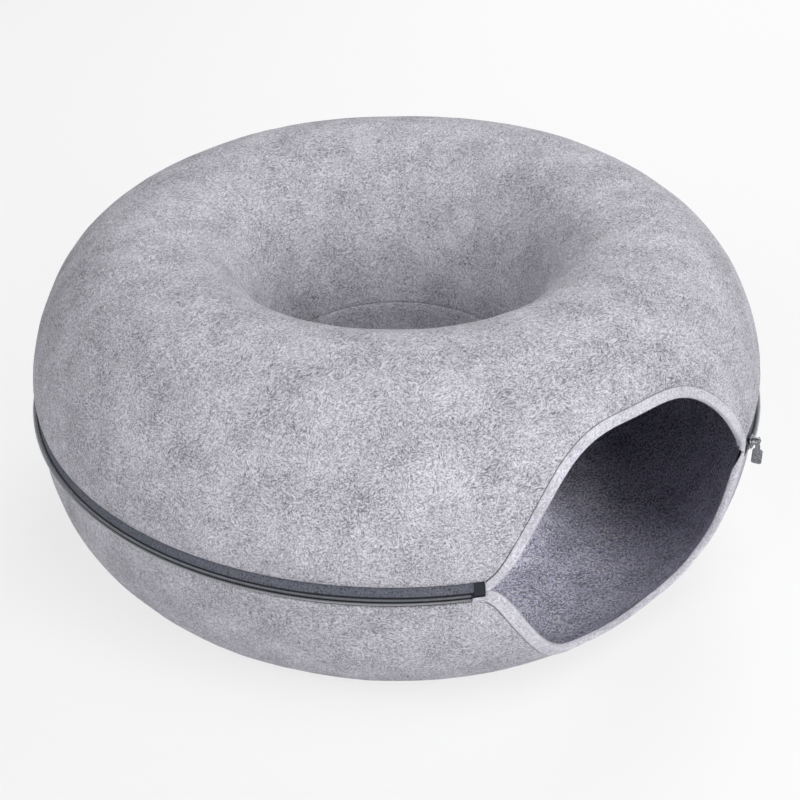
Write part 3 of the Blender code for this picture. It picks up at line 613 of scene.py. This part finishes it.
def binding_section(width):
    """The folded strip as (way from the opening, height over the felt's outer face) points, all round."""
    top, middle = BINDING, -FELT / 2
    outer_leg = [
        (width, -0.0002),
        (width + 0.0001, 0.0004),
        (width - 0.0002, top - 0.0002),
        (width - 0.0008, top + 0.00012),
        (width - 0.0018, top),
        (width * 0.62, top - 0.00012),
        (0.0034, top - 0.00010),
        (0.0018, top + 0.00016),
        (0.0009, top),
        (0.0003, top - 0.0006),
        (0.0, top - 0.0016),
        (0.0, middle),
    ]
    inner_leg = []
    for away, high in outer_leg[-2::-1]:
        inner_leg.append((away * INNER_LEG_WIDTH / width, -FELT - high))
    lining = [
        (FELT_CUT_BACK - 0.0001, -FELT - 0.0001),
        (FELT_CUT_BACK - 0.0002, middle),
        (FELT_CUT_BACK - 0.0001, 0.0001),
    ]
    return outer_leg + inner_leg + lining


def fold_share(height):
    """How much of its depth the fold has at a height: at the corners it is pressed nearly flat."""
    return CORNER_FOLD_SHARE + (1 - CORNER_FOLD_SHARE) * eased(abs(height - SEAM), 0.0, CORNER_HEIGHT)


def cut_at_zip(bm, upper):
    """Cuts a strip or its thread off at the seam and at the zip's ends."""
    sign = 1 if upper else -1
    trimmed(bm, (0, 0, SEAM + sign * BINDING_END_GAP), (0, 0, -sign))
    for side in (-1, 1):
        angle = side * BINDING_END_ANGLE
        trimmed(bm, (0, 0, 0), (side * math.cos(angle), side * math.sin(angle), 0))


def entrance_binding(name, upper):
    """The strip swept along the arch's edge, a little wavy, and cut off at the zip."""
    edge = entrance_edge(upper, 210)
    section = binding_section(UPPER_STRIP_WIDTH if upper else LOWER_STRIP_WIDTH)

    def place(row, column):
        at, along, away = edge[row]
        across, high = section[column]
        sway = noise.noise(at * 26.0) * 0.00040 * eased(across, 0.001, 0.006)
        swell = 1 + noise.noise(at * 60.0 + Vector((5.0, 1.0, 3.0))) * 0.12
        high *= swell if high > 0 else fold_share(at.z)
        return on_side(at + away * (across + sway), high, upper)[0]

    bm = wrapped(len(edge) - 1, len(section), place)
    close_ends(bm)
    cut_at_zip(bm, upper)
    return mesh_from(name, bm, 50.0)


def binding_thread(name, upper, across, stand):
    """A row of stitches along a strip: one thread that swells at each stitch and dips between them."""
    edge = entrance_edge(upper, 900)
    runs = [0.0]
    for (before, _, _), (at, along, away) in zip(edge, edge[1:]):
        runs.append(runs[-1] + (at - before).length)

    def place(row, column):
        at, along, away = edge[row]
        beat = math.sin(math.pi * runs[row] / STITCH_PITCH) ** 2
        # Threads are made thicker near the seam, so the outer one's line of painted shadow is heaviest there.
        heavy = 1.5 - 0.6 * eased(abs(at.z - SEAM), 0.008, 0.045)
        thick, way = THREAD * heavy * (0.55 + 0.45 * beat), math.tau * column / THREAD_SIDES
        sway = noise.noise(at * 26.0) * 0.00040
        base = stand if stand > 0 else stand * fold_share(at.z)
        high = base - 0.0003 * (1 - beat) + thick * math.sin(way)
        return on_side(at + away * (across + sway + thick * math.cos(way)), high, upper)[0]

    bm = wrapped(len(edge) - 1, THREAD_SIDES, place)
    close_ends(bm)
    cut_at_zip(bm, upper)
    return mesh_from(name, bm, 180.0)


binding_felt = felt_material(
    "pale_binding_felt",
    ((0.56, 0.55, 0.61, 1), (0.65, 0.64, 0.70, 1)),
    (0.24, 0.24, 0.28, 1),
    (0.80, 0.79, 0.84, 1),
    0.40,
    0.35,
    0.55,
    False,
)
# Dark stitching thread; along the outer rims it also serves as painted shadow.
thread_and_rim_shadow = bpy.data.materials.new("dark_thread_and_rim_shadow")
tree, shader, output = node_tree(thread_and_rim_shadow)
place = add_node(tree, "ShaderNodeTexCoord").outputs["Object"]
strand = add_node(tree, "ShaderNodeTexNoise", Scale=900.0, Detail=1.0)
tree.links.new(place, strand.inputs["Vector"])
twist = ramp(tree, strand.outputs["Fac"], 0.3, 0.7)
twist = tint(tree, twist, (0.020, 0.020, 0.028, 1), (0.080, 0.080, 0.098, 1))
tree.links.new(twist, shader.inputs["Base Color"])
shader.inputs["Roughness"].default_value = 0.6
for half, upper, width in (("upper", True, UPPER_STRIP_WIDTH), ("lower", False, LOWER_STRIP_WIDTH)):
    body = half + "_half"
    strip = entrance_binding(half + "_arch_binding", upper)
    node = half + "_entrance_binding"
    new_piece(half + "_arch_binding", strip, body, "binding_felt", binding_felt, node)
    for side, across, stand in (
        ("outer", width + RIM_SHADOW_LINE, 0.00025),
        ("inner", INNER_LEG_WIDTH - 0.0012, -FELT - BINDING + 0.0002),
    ):
        name = half + "_arch_" + side + "_seam"
        sewn = binding_thread(name, upper, across, stand)
        new_piece(name, sewn, body, "binding_felt", thread_and_rim_shadow)

# The outer zip's two tapes are slate polyester cloth, sewn behind the felt's edges with their inner
# edges under the coil. The upper one shows as a slate band between the coil and the upper felt.
OUTER_TAPE_END = math.radians(26.48)
OUTER_UPPER_TAPE = (
    (0.29810, 0.13860),
    (0.29770, 0.13990),
    (0.29715, 0.14120),
    (0.29690, 0.14250),
    (0.29655, 0.14400),
    (0.29560, 0.14700),
    (0.29340, 0.15000),
    (0.29280, 0.15200),
    (0.29210, 0.16000),
)
OUTER_LOWER_TAPE = (
    (0.29110, 0.12300),
    (0.29210, 0.13190),
    (0.29310, 0.13350),
    (0.29430, 0.13420),
    (0.29660, 0.13440),
    (0.29750, 0.13620),
    (0.29760, 0.13850),
)
TAPE = 0.0006
TAPE_STEPS = 390
RIB_PITCH = 0.0009


def tape(name, line, end):
    """A strip of tape spun round the ring's axis, from one end of the zip to the other."""
    bm = bmesh.new()
    section = list(line) + [(radius - TAPE, height) for radius, height in reversed(line)]
    across, ahead = math.sin(end), -math.cos(end)
    corners = [bm.verts.new((radius * across, radius * ahead, height)) for radius, height in section]
    edges = [bm.edges.new((corners[i - 1], corners[i])) for i in range(len(corners))]
    turn = math.tau - 2 * end
    bmesh.ops.spin(bm, geom=corners + edges, cent=(0, 0, 0), axis=(0, 0, 1), angle=turn, steps=TAPE_STEPS)
    close_ends(bm)
    return mesh_from(name, bm, 50.0)


tape_cloth = bpy.data.materials.new("slate_tape_cloth")
tree, shader, output = node_tree(tape_cloth)
place = add_node(tree, "ShaderNodeTexCoord").outputs["Object"]
parts = add_node(tree, "ShaderNodeSeparateXYZ")
tree.links.new(place, parts.inputs[0])
front = math_node(tree, "MULTIPLY_ADD", parts.outputs["Y"], -1.0, RING_Y)
around = math_node(tree, "ARCTAN2", parts.outputs["X"], front)
ribs = math_node(tree, "MULTIPLY", around, math.tau * UPPER_RADIUS / RIB_PITCH)
rise = math_node(tree, "MULTIPLY", parts.outputs["Z"], math.tau / RIB_PITCH)
twill = math_node(tree, "SINE", math_node(tree, "ADD", ribs, rise))
back = math_node(tree, "MULTIPLY", ribs, -1.0)
cross = math_node(tree, "SINE", math_node(tree, "MULTIPLY_ADD", rise, 2.0, back))
weave = math_node(tree, "MULTIPLY_ADD", cross, 0.5, twill)
fuzz = add_node(tree, "ShaderNodeTexNoise", Scale=900.0, Detail=2.0, Roughness=0.7)
tree.links.new(place, fuzz.inputs["Vector"])
shade = add_node(tree, "ShaderNodeTexNoise", Scale=26.0, Detail=2.0)
tree.links.new(place, shade.inputs["Vector"])
cloth = ramp(tree, shade.outputs["Fac"], 0.35, 0.65)
cloth = tint(tree, cloth, (0.080, 0.098, 0.140, 1), (0.108, 0.110, 0.152, 1))
hollow = tint(tree, 0.28, cloth, (0, 0, 0, 1))
raised = tint(tree, 0.10, cloth, (1, 1, 1, 1))
cloth = tint(tree, ramp(tree, weave, -1.4, 1.4), hollow, raised)
cloth = tint(tree, ramp(tree, fuzz.outputs["Fac"], 0.58, 0.72), cloth, (0.24, 0.25, 0.31, 1))
cloth = tint(tree, ramp(tree, fuzz.outputs["Fac"], 0.47, 0.36), cloth, (0.030, 0.034, 0.048, 1))
# Behind the coil, down the lower tape to the lower felt's edge, and right under the upper felt's fuzzy
# edge, the cloth is painted nearly black: painted shade, not the cloth's own colour.
shadow_edge_height = math_node(tree, "MULTIPLY_ADD", fuzz.outputs["Fac"], 0.0016, parts.outputs["Z"])
felt_edge_shadow = ramp(tree, shadow_edge_height, SEAM + 0.0080, SEAM + 0.0090)
below_line = ramp(tree, parts.outputs["Z"], SEAM + 0.0011, SEAM + 0.0004)
above_line = ramp(tree, parts.outputs["Z"], SEAM - 0.0092, SEAM - 0.0084)
coil_shadow = math_node(tree, "MINIMUM", below_line, above_line)
painted_shade = math_node(tree, "MAXIMUM", math_node(tree, "MULTIPLY", felt_edge_shadow, 0.75), coil_shadow)
cloth = tint(tree, painted_shade, cloth, (0.008, 0.008, 0.012, 1))
tree.links.new(cloth, shader.inputs["Base Color"])
shader.inputs["Roughness"].default_value = 0.8
bump = add_node(tree, "ShaderNodeBump", Strength=0.6, Distance=0.0002)
tree.links.new(math_node(tree, "MULTIPLY_ADD", fuzz.outputs["Fac"], 1.5, weave), bump.inputs["Height"])
tree.links.new(bump.outputs[0], shader.inputs["Normal"])
for half, line in (("upper", OUTER_UPPER_TAPE), ("lower", OUTER_LOWER_TAPE)):
    name = "outer_" + half + "_tape"
    node = "outer_" + half + "_zip_tape"
    new_piece(name, tape(name, line, OUTER_TAPE_END), half + "_half", "zip_tape", tape_cloth, node)

# The outer zip's coils are two rows of nylon thread wound into flattened loops, one sewn to each
# tape. The pair leans back with the tape and stands a little in front of it.
OUTER_CHAIN_RADIUS = 0.2993
OUTER_CHAIN_DROP = 0.0018  # the outer chain hangs that much below the seam's height
OUTER_CHAIN_LEAN = math.radians(18.0)
OUTER_COIL_SPAN = (math.radians(27.8), math.radians(360.0 - 28.35))
ROW_MIDDLE = 0.00152
LOOP_HALF_HEIGHT = 0.00052
LOOP_HALF_DEPTH = 0.00094
COIL_THREAD = 0.00038
COIL_PITCH = 0.0018
LOOP_STEPS = 8


def coil(name, chain_radius, chain_height, lean, span, sign):
    """One row of loops wound along the chain, above the seam or below it."""
    turns = round(chain_radius * (span[1] - span[0]) / COIL_PITCH)
    rows = turns * LOOP_STEPS

    def place(row, column):
        angle = span[0] + (span[1] - span[0]) * row / rows
        phase = math.tau * row / LOOP_STEPS
        way = math.tau * column / THREAD_SIDES
        ease = min(1.0, row / LOOP_STEPS, (rows - row) / LOOP_STEPS)
        thread = COIL_THREAD * (0.2 + 0.8 * ease)
        round_it = thread * math.cos(way)
        out = LOOP_HALF_DEPTH * math.cos(phase) + round_it * math.cos(phase)
        rise = sign * (ROW_MIDDLE + LOOP_HALF_HEIGHT * math.sin(phase) + round_it * math.sin(phase))
        angle += thread * math.sin(way) / chain_radius
        radius = chain_radius + out * math.cos(lean) - rise * math.sin(lean)
        height = chain_height + out * math.sin(lean) + rise * math.cos(lean)
        return Vector((radius * math.sin(angle), -radius * math.cos(angle), height))

    bm = wrapped(rows, THREAD_SIDES, place)
    close_ends(bm)
    return mesh_from(name, bm, 180.0)


coil_nylon = bpy.data.materials.new("slate_coil_nylon")
tree, shader, output = node_tree(coil_nylon)
place = add_node(tree, "ShaderNodeTexCoord").outputs["Object"]
speck = add_node(tree, "ShaderNodeTexNoise", Scale=420.0, Detail=1.0)
tree.links.new(place, speck.inputs["Vector"])
nylon = tint(tree, ramp(tree, speck.outputs["Fac"], 0.3, 0.7), (0.20, 0.21, 0.24, 1), (0.31, 0.325, 0.37, 1))
# The row below stands in the other one's shade, so its colour is painted paler, as painted light, to show as
# a line.
parts = add_node(tree, "ShaderNodeSeparateXYZ")
tree.links.new(place, parts.inputs[0])
lower_row_painted_light = math_node(tree, "LESS_THAN", parts.outputs["Z"], SEAM - OUTER_CHAIN_DROP)
nylon = tint(tree, lower_row_painted_light, nylon, tint(tree, 0.30, nylon, (1, 1, 1, 1)))
tree.links.new(nylon, shader.inputs["Base Color"])
tree.links.new(math_node(tree, "MULTIPLY_ADD", speck.outputs["Fac"], 0.2, 0.22), shader.inputs["Roughness"])
chain_height = SEAM - OUTER_CHAIN_DROP
for half, sign in (("upper", 1), ("lower", -1)):
    name = "outer_" + half + "_coil"
    node = "outer_" + half + "_zip_coil"
    row = coil(name, OUTER_CHAIN_RADIUS, chain_height, OUTER_CHAIN_LEAN, OUTER_COIL_SPAN, sign)
    new_piece(name, row, half + "_half", "zip_coil", coil_nylon, node)

# The outer zip ends at the entrance's corners: black film welded on the upper tape's end, the black box
# and metal pin of the separating end, a pale felt patch over them, and two metal stops by the slider.
SMALL_EDGE = 0.00012
END_SHIFT = math.radians(0.9)  # the zip's end reaches the strip's cut, that much round the ring
END_DROP = 0.0024  # and hangs that much lower, as its chain does


def softened(node, shift=0.0, drop=0.0):
    """A copy of a CAD node's mesh with eased edges, turned a little round the ring and lowered."""
    bm = bmesh.new()
    bm.from_mesh(bpy.data.objects[node].data)
    bmesh.ops.remove_doubles(bm, verts=bm.verts[:], dist=0.000002)
    bmesh.ops.dissolve_limit(bm, angle_limit=math.radians(1.0), verts=bm.verts[:], edges=bm.edges[:])
    sharp = [edge for edge in bm.edges if edge.is_manifold and edge.calc_face_angle(0.0) > math.radians(35)]
    bmesh.ops.bevel(
        bm,
        geom=sharp,
        offset=SMALL_EDGE,
        offset_type="OFFSET",
        segments=2,
        profile=0.5,
        affect="EDGES",
        material=-1,
        clamp_overlap=True,
    )
    spot = Matrix.Translation((0, -RING_Y, 0))
    bmesh.ops.rotate(bm, cent=(0, 0, 0), matrix=Matrix.Rotation(shift, 3, "Z"), verts=bm.verts[:], space=spot)
    bmesh.ops.translate(bm, verts=bm.verts[:], vec=(0, 0, -drop))
    mesh = bpy.data.meshes.new(node + "_soft")
    bm.to_mesh(mesh)
    bm.free()
    mesh.shade_smooth()
    mesh.set_sharp_from_angle(angle=math.radians(50))
    return mesh


black_film = bpy.data.materials.new("black_film")
tree, shader, output = node_tree(black_film)
place = add_node(tree, "ShaderNodeTexCoord").outputs["Object"]
print_through = add_node(tree, "ShaderNodeTexNoise", Scale=1100.0, Detail=2.0)
tree.links.new(place, print_through.inputs["Vector"])
weave = print_through.outputs["Fac"]
film_tone = tint(tree, weave, (0.006, 0.007, 0.010, 1), (0.030, 0.033, 0.045, 1))
tree.links.new(film_tone, shader.inputs["Base Color"])
tree.links.new(math_node(tree, "MULTIPLY_ADD", weave, 0.25, 0.55), shader.inputs["Roughness"])
bump = add_node(tree, "ShaderNodeBump", Strength=0.4, Distance=0.0001)
tree.links.new(print_through.outputs["Fac"], bump.inputs["Height"])
tree.links.new(bump.outputs[0], shader.inputs["Normal"])
shader.inputs["Specular IOR Level"].default_value = 0.2

cast_metal = bpy.data.materials.new("cast_zinc_metal")
tree, shader, output = node_tree(cast_metal)
place = add_node(tree, "ShaderNodeTexCoord").outputs["Object"]
cast = add_node(tree, "ShaderNodeTexNoise", Scale=700.0, Detail=3.0, Roughness=0.6)
tree.links.new(place, cast.inputs["Vector"])
worn = ramp(tree, cast.outputs["Fac"], 0.40, 0.66)
tree.links.new(tint(tree, worn, (0.15, 0.155, 0.17, 1), (0.34, 0.35, 0.37, 1)), shader.inputs["Base Color"])
shader.inputs["Metallic"].default_value = 1.0
tree.links.new(math_node(tree, "MULTIPLY_ADD", worn, 0.16, 0.26), shader.inputs["Roughness"])
bump = add_node(tree, "ShaderNodeBump", Strength=0.25, Distance=0.00008)
tree.links.new(cast.outputs["Fac"], bump.inputs["Height"])
tree.links.new(bump.outputs[0], shader.inputs["Normal"])

for node, body, slot, material, shift, drop in (
    ("outer_retainer_box", "lower_half", "tape_film", black_film, END_SHIFT, END_DROP),
    ("outer_insertion_pin", "upper_half", "slider_metal", cast_metal, END_SHIFT, END_DROP),
    ("outer_upper_top_stop", "upper_half", "slider_metal", cast_metal, 0.0, 0.0),
    ("outer_lower_top_stop", "lower_half", "slider_metal", cast_metal, 0.0, 0.0),
):
    new_piece(node + "_soft", softened(node, shift, drop), body, slot, material, node)


def end_band(name, section, first, last):
    """A short flat piece that follows the zip from one angle to another, given its section's corners."""

    def place(row, column):
        radius, height = section[column]
        angle = math.radians(first + (last - first) * row / 10)
        radius += noise.noise(Vector((row * 0.7, column * 0.4, 1.5))) * 0.0001
        return Vector((radius * math.sin(angle), -radius * math.cos(angle), height))

    bm = wrapped(10, len(section), place)
    close_ends(bm)
    return mesh_from(name, bm, 60.0)


FILM = 0.0003
FILM_ENDS = (-28.0, -26.5)  # degrees round the ring from the entrance's middle
FILM_FACE = (
    (0.29870, 0.14080),
    (0.29860, 0.14160),
    (0.29760, 0.14220),
    (0.29720, 0.14400),
    (0.29610, 0.14700),
    (0.29395, 0.15010),
)
film_back = tuple((radius - 2 * FILM, height - FILM) for radius, height in reversed(FILM_FACE))
film = end_band("zip_end_film", FILM_FACE + film_back, *FILM_ENDS)
new_piece("zip_end_film", film, "upper_half", "tape_film", black_film, "outer_tape_end_film")
PATCH_ENDS = (-28.3, -26.2)
PATCH_SECTION = (
    (0.29990, 0.14040),
    (0.30080, 0.14020),
    (0.30090, 0.13930),
    (0.30060, 0.13850),
    (0.30000, 0.13810),
    (0.30005, 0.13780),
    (0.29985, 0.13720),
    (0.29890, 0.13580),
    (0.29800, 0.13490),
    (0.29690, 0.13470),
    (0.29680, 0.13650),
    (0.29930, 0.13800),
)
patch = end_band("zip_end_patch_felt", PATCH_SECTION, *PATCH_ENDS)
new_piece("zip_end_patch_felt", patch, "lower_half", "binding_felt", binding_felt, "zip_end_patch")

# The outer slider is a zinc casting of two plates joined by a post, with a crown that the pull's eye
# hangs from. It is parked at the entrance's right corner, with the pull hanging plumb.
slider = softened("outer_slider_body")
new_piece("outer_slider_cast", slider, "outer_slider", "slider_metal", cast_metal, "outer_slider_body")
PULL_BAR = (0.3041, 0.1443)  # the crown's bar, as radius and height
PULL_WIDENED = 0.22
PULL_LENGTHENED = 0.24
PULL_SET_OUT = 0.001
pull = softened("outer_slider_pull")
for vertex in pull.vertices:
    x, y, z = vertex.co.x, vertex.co.y - RING_Y, vertex.co.z
    share = eased(PULL_BAR[1] - z, 0.003, 0.009)
    radius = math.hypot(x, y)
    wide = PULL_BAR[0] + (radius - PULL_BAR[0]) * (1 + PULL_WIDENED * share) + PULL_SET_OUT * share
    tall = PULL_BAR[1] + (z - PULL_BAR[1]) * (1 + PULL_LENGTHENED * share)
    vertex.co = (x * wide / radius, RING_Y + y * wide / radius, tall)
new_piece("outer_pull_cast", pull, "outer_pull", "slider_metal", cast_metal, "outer_slider_pull")

# The inner zip joins the halves round the hole's wall, on the tunnel's side. It is the same kind of
# zip as the outer one, upright, and its slider is parked behind the entrance.
INNER_TAPE_END = math.radians(1.0)
INNER_UPPER_TAPE = (
    (0.1129, 0.1427),
    (0.1129, 0.1475),
    (0.11238, 0.1485),
    (0.11138, 0.1495),
    (0.11192, 0.1600),
)
INNER_LOWER_TAPE = (
    (0.11147, 0.1240),
    (0.11119, 0.1345),
    (0.1122, 0.1355),
    (0.1129, 0.1365),
    (0.1129, 0.1413),
)
INNER_CHAIN_RADIUS = 0.1145
INNER_COIL_SPAN = (math.radians(2.9), math.radians(360.0 - 4.1))
for half, line, sign in (("upper", INNER_UPPER_TAPE, 1), ("lower", INNER_LOWER_TAPE, -1)):
    name = "inner_" + half + "_tape"
    node = "inner_" + half + "_zip_tape"
    new_piece(name, tape(name, line, INNER_TAPE_END), half + "_half", "zip_tape", tape_cloth, node)
    name = "inner_" + half + "_coil"
    node = "inner_" + half + "_zip_coil"
    row = coil(name, INNER_CHAIN_RADIUS, SEAM, 0.0, INNER_COIL_SPAN, sign)
    new_piece(name, row, half + "_half", "zip_coil", coil_nylon, node)
for node, body, slot, material in (
    ("inner_retainer_box", "lower_half", "tape_film", black_film),
    ("inner_insertion_pin", "upper_half", "slider_metal", cast_metal),
    ("inner_upper_top_stop", "upper_half", "slider_metal", cast_metal),
    ("inner_lower_top_stop", "lower_half", "slider_metal", cast_metal),
    ("inner_slider_body", "inner_slider", "slider_metal", cast_metal),
    ("inner_slider_pull", "inner_pull", "slider_metal", cast_metal),
):
    new_piece(node + "_soft", softened(node), body, slot, material, node)
